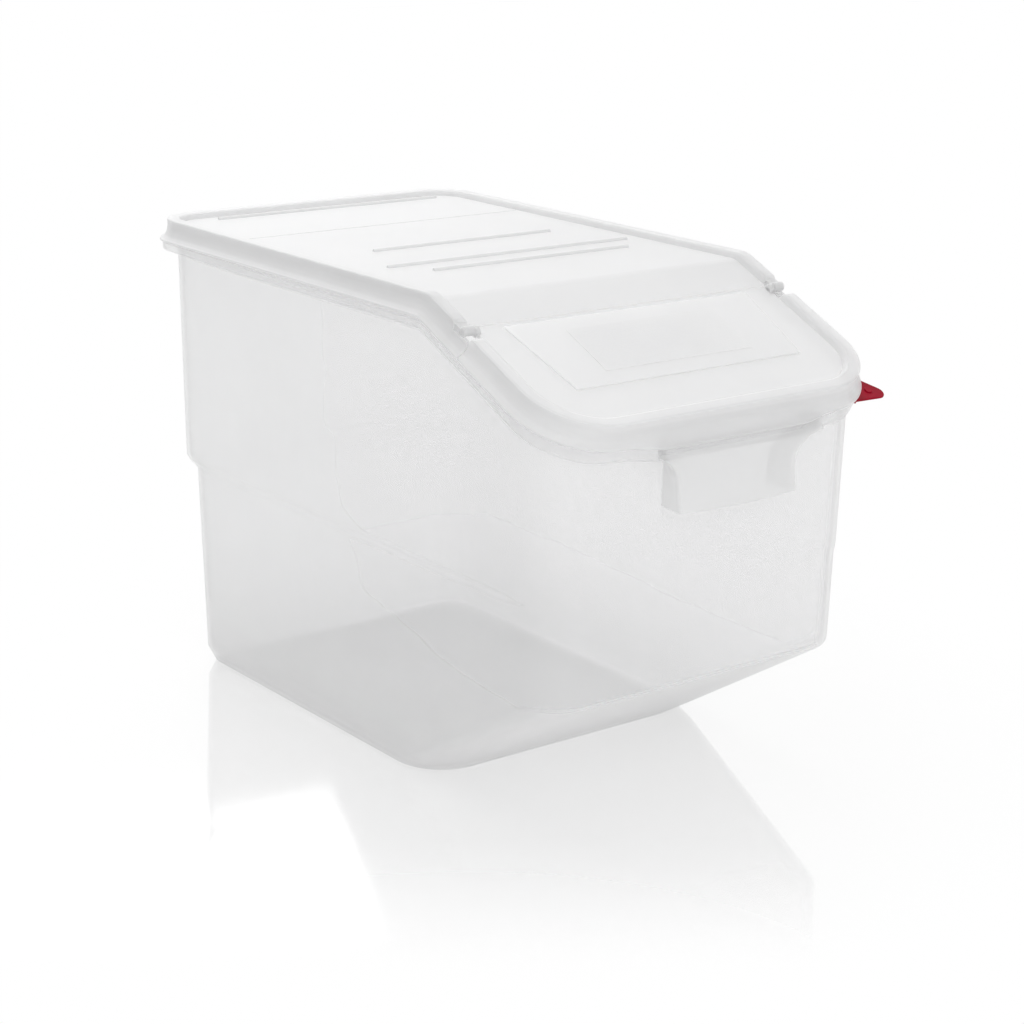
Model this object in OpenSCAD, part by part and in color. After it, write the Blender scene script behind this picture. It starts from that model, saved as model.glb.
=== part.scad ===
// Rice bin with a flip lid: a frosted plastic tub with a kicked-up front, a fixed rear lid,
// a flap that hinges on the sloping front, a write-on label and a colour clip.
// Origin on the floor under the middle of the lid, +X to the right, the front faces -Y, +Z up.

/* [Lid outline] */
// Width of the lid across its lips
lid_w = 300; // [270:5:340]
// Length of the lid along the floor, from the back lip to the front
lid_len = 540; // [500:5:600]
// Height of the lid's rim above the floor
lid_h = 360; // [330:5:420]
// Distance along the floor from the front end of the lid to its bend
bend_back = 155; // [145:1:190]
// Angle of the sloping front of the lid
slope_a = 24; // [16:1:30]
// Corner radius of the rim at the back
back_r = 35; // [28:1:50]
// Corner radius of the rim at the front
front_r = 51; // [34:1:60]

/* [Lid section] */
// Thickness of the lid's walls
lid_t = 2.2; // [1.8:0.1:3]
// Width of the raised rim
rim_w = 12; // [10:0.5:14]
// Depth of the panel below the top of the rim
panel_drop = 4.5; // [3:0.5:6]
// Height of the skirt, from the top of the rim to its lip
skirt_h = 16.8; // [15:0.2:20]
// How far the lip stands out from the rim
lip_out = 6; // [4:0.5:8]
// Drop of the rear field of the top panel behind its fine line
field_drop = 0.8; // [0.4:0.1:1.2]
// Distance from the back of the rim to that fine line
field_len = 114; // [80:1:150]

/* [Ribs on the lid] */
// Distance of each front rib behind the bend
rib_back = [82, 109, 169];
// Length of each front rib
rib_len = [178, 220, 164];
// Distance of the rear rib from the back of the rim
rear_rib_in = 24; // [20:1:40]
// Length of the rear rib
rear_rib_len = 210; // [150:5:230]
// Width of a rib
rib_w = 3; // [2:0.5:5]
// Height of a rib above the panel
rib_h = 2.2; // [1:0.2:3]
// How far the ribs sit to the right of the middle
rib_shift = 8; // [0:1:12]

/* [Hinge] */
// Distance down the slope from the bend to the joint of rear lid and flap
joint_s = 37; // [36:0.5:39]
// Distance down the slope from the bend to the hinge axis
hinge_s = 43; // [42:0.5:45]
// Depth of the hinge axis below the top of the rim
hinge_drop = 2.5; // [2:0.1:3]
// Distance down the slope to the end of the rear lid's raised rim
rear_rim_s = 34.5; // [32:0.5:36]
// Distance down the slope to the seam in the skirt
seam_s = 52.5; // [51:0.5:58]
// Gap between rear lid and flap
joint_gap = 0.8; // [0.5:0.1:1.2]
// Radius of a hinge stub
stub_r = 2.4; // [2:0.1:2.8]
// Radial play of a stub in its lug
stub_play = 0.08; // [0.03:0.01:0.1]
// Wall of the lug around its bore
lug_wall = 2.1; // [1.8:0.1:2.4]
// Width of a lug
lug_w = 7.5; // [6:0.5:8]
// Width of an ear of the flap
ear_w = 4; // [3:0.5:6]
// Side play between an ear and a lug
ear_play = 0.6; // [0.4:0.1:1]

/* [Label on the flap] */
// Height of the raised label panel above the flap
pad_h = 1; // [0.6:0.1:1.4]
// Width of the label panel at its upper edge
pad_top_w = 216; // [180:4:228]
// Width of the label panel at its lower edge
pad_low_w = 198; // [170:4:210]
// Distance down the slope to the upper edge of the label panel
pad_s = 42; // [42:1:48]
// Length of the label panel down the slope
pad_len = 75; // [60:1:78]
// Width of the write-on label
label_w = 130; // [80:5:150]
// Length of the write-on label down the slope
label_len = 48; // [30:1:52]
// Thickness of the write-on label
label_t = 0.3; // [0.2:0.1:0.5]

/* [Thumb lip] */
// Width of the thumb lip at the front of the flap
thumb_w = 120; // [80:5:140]
// How far the thumb lip stands out
thumb_out = 5; // [3:0.5:8]

/* [Tub] */
// Thickness of the tub's walls
tub_t = 2.6; // [2:0.1:3.4]
// Gap in plan from the lip of the lid to the side wall of the tub
side_gap = 9.5; // [9:0.1:10]
// Gap in plan from the back lip to the back wall
back_gap = 18.5; // [16:0.5:24]
// Gap in plan from the front end of the lid to the front wall
front_gap = 22; // [19:0.5:26]
// How far each side wall comes in between rim and floor
side_taper = 6.5; // [2:0.5:12]
// How far the front wall comes in between rim and floor
front_taper = 7; // [2:0.5:12]
// How far the back wall comes in between shoulder and floor
back_taper = 5.5; // [2:0.5:10]
// Radius of the tub's upright corners
tub_r = 31; // [26:1:36]
// Height of the shoulder in the walls
shoulder_h = 171; // [140:1:220]
// Depth of the shoulder at the back
shoulder_back = 14.5; // [8:0.5:18]
// Depth of the shoulder at the sides
shoulder_side = 1.2; // [0.6:0.1:3]
// Height over which the shoulder slopes out
shoulder_rise = 9; // [6:1:14]
// Height of the front wall's foot above the floor
kick_h = 93; // [60:1:110]
// Distance along the floor from the front wall's foot to the resting face
kick_len = 160; // [120:1:190]
// Radius of the edge around the floor
foot_r = 12; // [8:1:16]
// Radius of the edge under the front wall
kick_r = 6; // [5:0.5:10]

/* [Tub rim] */
// Thickness of the tub's flange
flange_t = 2.5; // [2:0.1:3]
// Depth of the flange below the top of the lid's rim
flange_drop = 17.2; // [17:0.1:22]
// Height of the flange's turned-down edge
edge_h = 8; // [6:0.5:11]
// Thickness of the flange's turned-down edge
edge_t = 1.8; // [1.4:0.1:2.2]
// How far the flange stands out from the lid's rim
flange_out = 4; // [3.5:0.1:4.5]
// Thickness of the seal rib of the lid
seal_t = 1.6; // [1.2:0.1:2]
// Gap between the seal rib and the tub's rim at rest
seal_gap = 0.3; // [0.2:0.05:0.5]
// Height of the tub's rim above its flange
upstand_h = 9.7; // [7:0.1:10]
// Thickness of the tub's rim
upstand_t = 3; // [2.8:0.1:3.4]

/* [Handle hood] */
// Width of the handle hood
hood_w = 108; // [90:1:130]
// Height of the hood's lower edge above the floor
hood_z = 229; // [210:1:240]
// How far the hood's lower edge stands out past the flange
hood_out = 10.5; // [4:0.5:14]
// Thickness of the hood
hood_t = 2.4; // [2:0.1:3]
// Radius where the hood flares into the flange
hood_r = 14; // [8:1:18]

/* [Colour clip] */
// Angle round the front corner where the clip sits
clip_at = 30; // [25:1:60]
// Length of the clip along the corner
clip_len = 36; // [24:1:44]
// Thickness of the clip's walls
clip_t = 1.5; // [1.2:0.1:1.8]
// Height of the clip's hook behind the flange's edge
hook_h = 1.6; // [1.4:0.1:2]
// Gap between the clip and the flange
clip_gap = 0.3; // [0.2:0.05:0.4]
// How far the clip's tab stands out from the flange
tab_out = 24; // [12:1:26]
// Radius of the tip of the tab
tab_tip = 3.4; // [2:0.1:5]
// Radius of the boss on the tab
boss_r = 3.2; // [2:0.1:4]
// Height of the boss on the tab
boss_h = 0.8; // [0.4:0.1:1.2]

/* [Hidden] */
$fn = 48;
eps = 0.01;
front_ease = 0.03;
far = 500;

half_w = lid_w / 2 - lip_out;
side_gap_in = lip_out - side_gap;
bend_y = -lid_len / 2 + bend_back;
back_len = lid_len / 2 - lip_out - bend_y;
slope_len = (bend_back - lip_out) / cos(slope_a);
mitre_a = slope_a / 2;

panel_in = rim_w - 0.5;
panel_n = -panel_drop;
seal_out = -4;
notch_n = -6.2;
upstand_n = upstand_h - flange_drop;
upstand_out = side_gap_in;

lug_r = stub_r + stub_play + lug_wall;
lug_x = half_w - lid_t - lug_w - 0.3;
ear_x = lug_x - ear_play - ear_w;
ear_r = stub_r + lug_wall - 0.3;

tub_half = lid_w / 2 - side_gap;
tub_back = lid_len / 2 - back_gap;
tub_front = -lid_len / 2 + front_gap;
wall_drop = flange_drop + flange_t / 2;
wall_top = lid_h - wall_drop;
front_top = lid_h + (tub_front - bend_y) * tan(slope_a) - wall_drop / cos(slope_a);
floor_front = tub_front + kick_len;
floor_front_r = 45;

clip_in = front_r + flange_out - edge_t;

// Half the tub's width at height z
function half_at(z) = tub_half - side_taper * (1 - z / wall_top);
// Place of the front wall at height z
function front_at(z) = tub_front + front_taper * (1 - z / wall_top);
// Place of the back wall at height z, below the shoulder
function low_back_at(z) = tub_back - shoulder_back - back_taper * (1 - z / shoulder_h);

// Outer skin of the lid's rim and skirt: x outward from the rim's outer edge, y up from its top
function rim_skin() = [
    [-rim_w, panel_n], [-rim_w + 1.6, -0.9], [-rim_w + 2.8, 0], [-2, 0], [-0.6, -0.5], [0, -1.6],
    [0.3, -skirt_h * 0.4], [1.2, -skirt_h * 0.62], [2.8, -skirt_h * 0.78], [lip_out - 1, -skirt_h * 0.87],
    [lip_out, -skirt_h * 0.91]
];

// Inner skin of the lid's rim and skirt, with the rib that seals on the tub
function rim_lining() = [
    [-rim_w, panel_n - lid_t], [-rim_w + 2.6, panel_n - lid_t], [-rim_w + 3.6, -lid_t],
    [seal_out - seal_t, -lid_t], [seal_out - seal_t, upstand_n + seal_gap],
    [seal_out, upstand_n + seal_gap], [seal_out, -lid_t],
    [-lid_t, -lid_t], [-1.8, -skirt_h * 0.42], [-0.8, -skirt_h * 0.7], [0.9, -skirt_h * 0.84],
    [3, -skirt_h * 0.92], [lip_out - 1.5, -skirt_h]
];

// Section between the two skins
function rim_section() = concat(
    rim_skin(), [[lip_out, -skirt_h]], [for (i = [len(rim_lining()) - 1:-1:0]) rim_lining()[i]]
);

// A skin closed far below, so that it bounds everything under it
function under_skin(skin, fill_n, deep) = concat(
    skin, [[skin[len(skin) - 1][0], -deep], [-rim_w - 2, -deep], [-rim_w - 2, fill_n], [-rim_w, fill_n]]
);

// A straight run of a section along one side, from y = from to y = to
module side_run(section, half, from, to) {
    translate([half, to, 0])
        rotate([90, 0, 0])
            linear_extrude(to - from)
                polygon(section);
}

// A section carried round the closed end of a U: two sides, two corners and the end
module u_run(section, half, len, r, from) {
    for (side = [0, 1])
        mirror([side, 0, 0]) {
            side_run(section, half, from, len - r);
            translate([half - r, len - r, 0])
                rotate_extrude(angle = 90)
                    translate([r, 0])
                        polygon(section);
        }
    translate([r - half, len, 0])
        rotate([90, 0, 90])
            linear_extrude(2 * (half - r))
                polygon(section);
}

// Plan of one end of the lid: square at y = from, rounded at y = len
module end_plan(half, len, r, from) {
    translate([-half, from])
        square([2 * half, len - r - from]);
    translate([r - half, from])
        square([2 * (half - r), len - from]);
    for (side = [-1, 1])
        translate([side * (half - r), len - r])
            circle(r);
}

// The flat rear of the lid is drawn here
module flat_frame() {
    translate([0, bend_y, lid_h])
        children();
}

// The sloping front is drawn here: y runs back up the slope, z stands square on it
module slope_frame() {
    translate([0, bend_y, lid_h])
        rotate([slope_a, 0, 0])
            children();
}

// Everything under a closed skin at one end of the lid, carried on past the bend
module end_form(skin, fill_n, deep, half, len, r) {
    u_run(under_skin(skin, fill_n, deep), half, len, r, -far);
    translate([0, 0, -deep])
        linear_extrude(deep + fill_n)
            end_plan(half - rim_w - 1, len - rim_w - 1, r - rim_w - 1, -far);
}

// Everything under a skin that runs round the flat rear and the sloping front and bends between them;
// the front is a hair wider, so that the two never share a side face
module folded_form(skin, fill_n, deep) {
    intersection() {
        flat_frame()
            end_form(skin, fill_n, deep, half_w, back_len, back_r);
        slope_frame()
            mirror([0, 1, 0])
                end_form(skin, fill_n, deep, half_w + front_ease, slope_len, front_r);
    }
}

// A disc with a rounded lower edge, whose centre circle is kept when the wall is taken off
module foot_disc(x, y, z, r, edge, inset) {
    translate([x, y, z + edge])
        rotate_extrude($fn = 32)
            translate([r - edge, 0])
                circle(edge - inset, $fn = 16);
}

module thin_disc(x, y, z, r) {
    translate([x, y, z])
        cylinder(h = eps, r = r, $fn = 40);
}

// The tub below its shoulder, with its kicked-up front; inset takes off the wall
module lower_body(inset, lift) {
    hull()
        for (side = [-1, 1]) {
            foot_disc(side * (half_at(0) - tub_r), low_back_at(0) - tub_r, 0, tub_r, foot_r, inset);
            foot_disc(side * (half_at(0) - floor_front_r), floor_front + floor_front_r - foot_r, 0,
                floor_front_r, foot_r, inset);
            foot_disc(side * (half_at(kick_h) - tub_r), front_at(kick_h) + tub_r, kick_h, tub_r, kick_r, inset);
            thin_disc(side * (half_at(shoulder_h) - shoulder_side - tub_r), low_back_at(shoulder_h) - tub_r,
                shoulder_h - shoulder_rise + lift, tub_r - inset);
            thin_disc(side * (half_at(shoulder_h) - shoulder_side - tub_r), front_at(shoulder_h) + tub_r,
                shoulder_h - shoulder_rise + lift, tub_r - inset);
        }
}

// The tub above its shoulder; lift raises the top past the wall so that the inside is open
module upper_body(inset, lift) {
    hull()
        for (side = [-1, 1]) {
            thin_disc(side * (half_at(shoulder_h) - shoulder_side - tub_r), low_back_at(shoulder_h) - tub_r,
                shoulder_h - shoulder_rise, tub_r - inset);
            thin_disc(side * (half_at(shoulder_h) - shoulder_side - tub_r), front_at(shoulder_h) + tub_r,
                shoulder_h - shoulder_rise, tub_r - inset);
            thin_disc(side * (half_at(shoulder_h) - tub_r), tub_back - tub_r, shoulder_h, tub_r - inset);
            thin_disc(side * (half_at(shoulder_h) - tub_r), front_at(shoulder_h) + tub_r, shoulder_h, tub_r - inset);
            thin_disc(side * (tub_half - tub_r), tub_back - tub_r, wall_top + lift, tub_r - inset);
            thin_disc(side * (half_at(front_top) - tub_r), front_at(front_top) + tub_r,
                front_top + lift, tub_r - inset);
            translate([side * (tub_half - inset - 1), bend_y + wall_drop * tan(mitre_a), wall_top + lift])
                cylinder(h = eps, r = 1, $fn = 16);
        }
}

// Top of the flange, with the upright rim round the mouth
function flange_skin() = [
    [-rim_w, -flange_drop], [upstand_out - upstand_t, -flange_drop], [upstand_out - upstand_t, upstand_n],
    [upstand_out, upstand_n], [upstand_out, -flange_drop], [flange_out, -flange_drop]
];

// Underside of the flange, with its turned-down edge
function flange_lining() = [
    [-rim_w, -flange_drop - flange_t], [flange_out - edge_t, -flange_drop - flange_t],
    [flange_out - edge_t, -flange_drop - edge_h], [flange_out + 4, -flange_drop - edge_h]
];

// The flange round the mouth, still closed over it
module flange_plate() {
    difference() {
        folded_form(flange_skin(), -flange_drop, far - 10);
        folded_form(flange_lining(), -flange_drop - flange_t, far);
    }
}

// Outline of the hood seen from the front, flared into the flange at its upper corners
module hood_outline(top) {
    half = hood_w / 2;
    polygon(concat(
        [for (a = [0:15:90]) [half + hood_r * (1 - cos(a)), top - hood_r + hood_r * sin(a)]],
        [for (a = [90:-15:0]) [-half - hood_r * (1 - cos(a)), top - hood_r + hood_r * sin(a)]],
        [[-half + 1, hood_z], [half - 1, hood_z]]
    ));
}

// The pull handle moulded under the front of the flange, open below for the fingers
module handle_hood() {
    edge_n = -flange_drop - flange_t;
    top_y = bend_y - (slope_len + flange_out) * cos(slope_a) - edge_n * sin(slope_a);
    top_z = lid_h - (slope_len + flange_out) * sin(slope_a) + edge_n * cos(slope_a);
    skin = [
        [top_y, top_z + 1], [top_y - hood_out, hood_z - 1],
        [top_y - hood_out + hood_t, hood_z - 1], [top_y + hood_t, top_z + 1]
    ];
    cheek = [
        [top_y + hood_t / 2, top_z + 1], [top_y - hood_out + hood_t / 2, hood_z],
        [front_at(hood_z) + tub_t / 2, hood_z], [front_at(top_z) + tub_t / 2, top_z + 1]
    ];
    intersection() {
        rotate([90, 0, 90])
            linear_extrude(lid_w, center = true)
                polygon(skin);
        translate([0, 0, 0])
            rotate([90, 0, 0])
                linear_extrude(lid_len)
                    hood_outline(top_z + 1);
    }
    for (side = [-1, 1])
        translate([side * (hood_w / 2 - hood_t / 2), 0, 0])
            rotate([90, 0, 90])
                linear_extrude(hood_t, center = true)
                    polygon(cheek);
}

module tub() {
    color([0.93, 0.94, 0.95, 0.6]) {
        difference() {
            union() {
                lower_body(0, 0);
                upper_body(0, 0);
                flange_plate();
            }
            lower_body(tub_t, shoulder_rise / 2);
            upper_body(tub_t, upstand_h + 3);
        }
        handle_hood();
    }
}

// A bar moulded on the flat top, from the field below it up
module lid_rib(back, length) {
    translate([rib_shift - length / 2, back - rib_w / 2, panel_n - field_drop - 0.3])
        cube([length, rib_w, rib_h + field_drop + 0.3]);
}

// The rear field of the top panel, which lies a little lower
module rear_field() {
    translate([0, 0, panel_n - field_drop])
        linear_extrude(lid_t)
            end_plan(half_w - rim_w - 2, back_len - rim_w - 2, back_r - rim_w - 2, back_len - field_len);
}

// What the flap and its hinges take away from the lid
module flap_room() {
    translate([-far, -far - seam_s, -far])
        cube([2 * far, far, 2 * far]);
    translate([-half_w + 2, -far - joint_s, -far])
        cube([2 * (half_w - 2), far, 2 * far]);
    for (side = [0, 1])
        mirror([side, 0, 0]) {
            translate([half_w - panel_in, -far - rear_rim_s, -far])
                cube([panel_in - 2, far, 2 * far]);
            translate([half_w - 3, -far - rear_rim_s, notch_n])
                cube([far, far, far]);
        }
}

// A lug that holds one hinge stub, on the end of the rear lid's rim
module hinge_lug() {
    difference() {
        union() {
            translate([lug_x, -hinge_s, -hinge_drop])
                rotate([0, 90, 0])
                    cylinder(h = lug_w, r = lug_r);
            translate([lug_x, -hinge_s, -hinge_drop - lug_r])
                cube([lug_w + 0.5, hinge_s - rear_rim_s + 1, lug_r + 1.5]);
        }
        translate([lug_x - 1, -hinge_s, -hinge_drop])
            rotate([0, 90, 0])
                cylinder(h = lug_w + 2, r = stub_r + stub_play);
    }
}

module rear_lid() {
    color([0.97, 0.97, 0.98, 0.7]) {
        difference() {
            folded_form(rim_skin(), panel_n, far - 10);
            folded_form(concat(rim_lining(), [[lip_out + 4, -skirt_h]]), panel_n - lid_t, far);
            slope_frame()
                flap_room();
            flat_frame()
                rear_field();
        }
        flat_frame() {
            for (i = [0:len(rib_back) - 1])
                lid_rib(rib_back[i], rib_len[i]);
            lid_rib(back_len - rear_rib_in, rear_rib_len);
        }
        slope_frame()
            for (side = [0, 1])
                mirror([side, 0, 0])
                    hinge_lug();
    }
}

// An ear of the flap with the stub that turns in the lug
module hinge_ear() {
    translate([ear_x, -hinge_s, -hinge_drop])
        rotate([0, 90, 0])
            cylinder(h = ear_w, r = ear_r);
    translate([ear_x, -hinge_s - ear_r, panel_n - lid_t])
        cube([ear_w, 2 * ear_r, lid_t + panel_drop - hinge_drop]);
    translate([ear_x + eps, -hinge_s, -hinge_drop])
        rotate([0, 90, 0])
            cylinder(h = ear_w + ear_play + lug_w - 0.5, r = stub_r);
}

// The raised panel that carries the label
module label_pad() {
    translate([0, 0, panel_n - 0.5])
        linear_extrude(pad_h + 0.5)
            polygon([
                [-pad_top_w / 2, -pad_s], [pad_top_w / 2, -pad_s],
                [pad_low_w / 2, -pad_s - pad_len], [-pad_low_w / 2, -pad_s - pad_len]
            ]);
}

// The lip that a thumb lifts, low at the middle of the flap's front
module thumb_lip() {
    bow_r = (pow(thumb_w / 2, 2) + pow(thumb_out, 2)) / (2 * thumb_out);
    translate([0, 0, -skirt_h])
        linear_extrude(skirt_h * 0.09)
            intersection() {
                translate([0, -slope_len - lip_out - thumb_out + bow_r])
                    circle(bow_r, $fn = 180);
                translate([-thumb_w / 2, -slope_len - lip_out - thumb_out])
                    square([thumb_w, thumb_out + 1.4]);
            }
}

module flip_flap() {
    color([0.95, 0.95, 0.96, 0.7])
        slope_frame() {
            mirror([0, 1, 0]) {
                u_run(rim_section(), half_w, slope_len, front_r, seam_s + joint_gap);
                translate([0, 0, panel_n - lid_t])
                    linear_extrude(lid_t)
                        end_plan(half_w - panel_in, slope_len - panel_in, front_r - panel_in, joint_s + joint_gap);
            }
            label_pad();
            thumb_lip();
            for (side = [0, 1])
                mirror([side, 0, 0])
                    hinge_ear();
        }
}

module write_on_label() {
    color([0.99, 0.99, 0.97])
        slope_frame()
            translate([-label_w / 2, -pad_s - pad_len / 2 - label_len / 2, panel_n + pad_h])
                cube([label_w, label_len, label_t]);
}

// Outline of the clip's tab: a triangle with a round tip, pointing outward
module tab_outline(base, tip, half) {
    run = tip - tab_tip - base;
    lean = atan2(half - tab_tip, run);
    polygon(concat(
        [[base, -half]],
        [for (a = [-90 + lean:15:90 - lean]) [tip - tab_tip + tab_tip * cos(a), tab_tip * sin(a)]],
        [[tip - tab_tip + tab_tip * cos(90 - lean), tab_tip * sin(90 - lean)], [base, half]]
    ));
}

module colour_clip() {
    low_n = -flange_drop - edge_h - clip_gap - clip_t;
    edge_out = front_r + flange_out;
    sweep = clip_len / edge_out * 180 / PI;
    half = clip_len / 2;
    section = [
        [clip_in - clip_gap - clip_t, low_n], [edge_out + clip_gap + clip_t, low_n],
        [edge_out + clip_gap + clip_t, -flange_drop - 1], [edge_out + clip_gap, -flange_drop - 1],
        [edge_out + clip_gap, low_n + clip_t], [clip_in - clip_gap, low_n + clip_t],
        [clip_in - clip_gap, low_n + clip_t + clip_gap + hook_h],
        [clip_in - clip_gap - clip_t, low_n + clip_t + clip_gap + hook_h]
    ];
    color([0.68, 0.08, 0.2])
        slope_frame()
            translate([half_w - front_r, front_r - slope_len, 0])
                rotate([0, 0, -clip_at]) {
                    rotate([0, 0, -sweep / 2])
                        rotate_extrude(angle = sweep)
                            polygon(section);
                    translate([0, 0, low_n])
                        linear_extrude(clip_t)
                            tab_outline(edge_out * cos(sweep / 2) - 1, edge_out + tab_out, half);
                    translate([edge_out + tab_out * 0.5, 0, low_n + clip_t - 0.2])
                        cylinder(h = boss_h + 0.2, r = boss_r);
                }
}

tub();
rear_lid();
flip_flap();
write_on_label();
colour_clip();
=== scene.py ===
"""Dresses the rice bin: tub, rear lid and flap as smooth frosted mouldings, a bare label and a red clip.

It also makes the stage, the lights and the camera.
"""
import math

import bpy
import bmesh
from mathutils import Matrix, Vector


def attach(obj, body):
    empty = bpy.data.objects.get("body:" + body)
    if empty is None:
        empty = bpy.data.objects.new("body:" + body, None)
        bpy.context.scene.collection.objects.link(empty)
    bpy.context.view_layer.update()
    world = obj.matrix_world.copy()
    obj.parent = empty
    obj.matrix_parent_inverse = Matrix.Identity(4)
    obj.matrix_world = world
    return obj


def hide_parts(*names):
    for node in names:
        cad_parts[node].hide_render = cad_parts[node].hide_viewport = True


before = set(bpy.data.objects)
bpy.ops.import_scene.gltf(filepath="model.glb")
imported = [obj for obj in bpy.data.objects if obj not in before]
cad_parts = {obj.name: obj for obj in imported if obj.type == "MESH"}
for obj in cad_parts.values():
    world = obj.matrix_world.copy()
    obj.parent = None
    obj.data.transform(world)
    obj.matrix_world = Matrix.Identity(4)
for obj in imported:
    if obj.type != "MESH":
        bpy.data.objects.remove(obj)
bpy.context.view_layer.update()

MM = 0.001

# Sizes of the lid and the tub, in millimetres, as in the part's source.
# The lid is drawn flat: u runs back from the bend, n is the height above the rim's top.
RIM_HALF = 144.0
BEND_Y = -115.0
LID_TOP = 360.0
SLOPE = math.radians(24.0)
BACK_RUN = 379.0
FRONT_RUN = 149.0 / math.cos(SLOPE)
BACK_CORNER = 35.0
FRONT_CORNER = 51.0
BEND_R = 28.0
BEND_REACH = BEND_R * math.tan(SLOPE / 2)
PANEL_N = -4.5
LID_WALL = 2.2
LIP = 6.0
FLANGE_N = -17.2
FLANGE_WALL = 2.5
FLANGE_OUT = 4.0
EDGE_H = 8.0
EDGE_WALL = 1.8
TUB_WALL = 2.6
HINGE_S = 43.0
HINGE_N = -2.5
JOINT_S = 37.0
REAR_RIM_S = 34.5
SEAM_S = 52.5
GAP = 0.8


# Folding the flat lid over its bend

def fold(x, u, n):
    """A point of the flat lid moved to its real place, in metres."""
    arc_len = BEND_R * SLOPE
    if u >= BEND_REACH:
        y, z = BEND_Y + u, LID_TOP + n
    elif u > BEND_REACH - arc_len:
        t = (BEND_REACH - u) / BEND_R
        y = BEND_Y + BEND_REACH - (BEND_R + n) * math.sin(t)
        z = LID_TOP - BEND_R + (BEND_R + n) * math.cos(t)
    else:
        s = BEND_REACH + (BEND_REACH - arc_len - u)
        y = BEND_Y - s * math.cos(SLOPE) - n * math.sin(SLOPE)
        z = LID_TOP - s * math.sin(SLOPE) + n * math.cos(SLOPE)
    return Vector((x * MM, y * MM, z * MM))


def down_slope(s):
    """The flat lid's u for a place s down the slope from the bend."""
    return 2 * BEND_REACH - BEND_R * SLOPE - s


FRONT_U = down_slope(FRONT_RUN)


# Loops round the object

CORNER_STEPS = 14
FRONT_STEPS = 36
BACK_STEPS = 10
SIDE_STEPS = 26
BEND_STEPS = 6
BEND_CLEAR = 4.0
CORNER_CLEAR = 1.0


def side_marks(low, high):
    """Places along a side run between two corners, closer together round the bend."""
    arc = [BEND_REACH - BEND_R * SLOPE * i / BEND_STEPS for i in range(BEND_STEPS + 1)]
    places = [low + (high - low) * i / SIDE_STEPS for i in range(1, SIDE_STEPS)]
    places = [p for p in places if all(abs(p - a) > BEND_CLEAR for a in arc)]
    return sorted(places + [a for a in arc if low + CORNER_CLEAR < a < high - CORNER_CLEAR])


SIDE_LOW, SIDE_HIGH = FRONT_U + FRONT_CORNER, BACK_RUN - BACK_CORNER
SIDE_PART = [(u - SIDE_LOW) / (SIDE_HIGH - SIDE_LOW) for u in side_marks(SIDE_LOW, SIDE_HIGH)]


def rounded_loop(half, front, back, r_front, r_back, sides):
    """Points (x, y) of a rounded rectangle, from the front's middle by the right, the back and the left."""
    pts = []
    for i in range(FRONT_STEPS // 2):
        pts.append(((half - r_front) * i / (FRONT_STEPS // 2), front))
    for i in range(CORNER_STEPS):
        a = -math.pi / 2 + math.pi / 2 * i / CORNER_STEPS
        pts.append((half - r_front + r_front * math.cos(a), front + r_front + r_front * math.sin(a)))
    low, high = front + r_front, back - r_back
    pts.append((half, low))
    for f in sides:
        pts.append((half, low + (high - low) * f))
    for i in range(CORNER_STEPS):
        a = math.pi / 2 * i / CORNER_STEPS
        pts.append((half - r_back + r_back * math.cos(a), back - r_back + r_back * math.sin(a)))
    for i in range(BACK_STEPS):
        pts.append(((half - r_back) * (1 - 2 * i / BACK_STEPS), back))
    for i in range(CORNER_STEPS):
        a = math.pi / 2 + math.pi / 2 * i / CORNER_STEPS
        pts.append((-half + r_back + r_back * math.cos(a), back - r_back + r_back * math.sin(a)))
    pts.append((-half, high))
    for f in reversed(sides):
        pts.append((-half, low + (high - low) * f))
    for i in range(CORNER_STEPS):
        a = math.pi + math.pi / 2 * i / CORNER_STEPS
        pts.append((-half + r_front + r_front * math.cos(a), front + r_front + r_front * math.sin(a)))
    for i in range(FRONT_STEPS // 2):
        pts.append((-(half - r_front) * (1 - i / (FRONT_STEPS // 2)), front))
    return pts


NOSE_HALF = 92.0
NOSE_FADE = 34.0
NOSE_OUT = 6.5
NOSE_DEPTH = 2.0
LEAST_CORNER = 0.5


def nose(x):
    """How far the lip swells forward at x, across the middle of the front."""
    reach = max(0.0, min(1.0, (NOSE_HALF - abs(x)) / NOSE_FADE))
    return NOSE_OUT * reach * reach * (3 - 2 * reach)


def rim_loop(out, swell=0.0):
    """A loop round the flat lid at a distance out from the rim's outer edge."""
    pts = rounded_loop(RIM_HALF + out, FRONT_U - out, BACK_RUN + out, max(FRONT_CORNER + out, LEAST_CORNER),
                       max(BACK_CORNER + out, LEAST_CORNER), SIDE_PART)
    return [(x, u - swell * nose(x) if u < FRONT_U + NOSE_DEPTH else u) for x, u in pts]


SOFT_STEPS = 3
MOST_OF_EDGE = 0.42


def softened(section, r):
    """A section with each corner replaced by a small curve."""
    out = []
    count = len(section)
    for i, p in enumerate(section):
        a, b = section[i - 1], section[(i + 1) % count]
        la, lb = math.dist(a, p), math.dist(b, p)
        ra, rb = min(r, la * MOST_OF_EDGE), min(r, lb * MOST_OF_EDGE)
        pa = [p[k] + (a[k] - p[k]) * ra / la for k in (0, 1)]
        pb = [p[k] + (b[k] - p[k]) * rb / lb for k in (0, 1)]
        for j in range(SOFT_STEPS + 1):
            t = j / SOFT_STEPS
            out.append(tuple((1 - t) ** 2 * pa[k] + 2 * t * (1 - t) * p[k] + t * t * pb[k] for k in (0, 1)))
    return out


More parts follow.
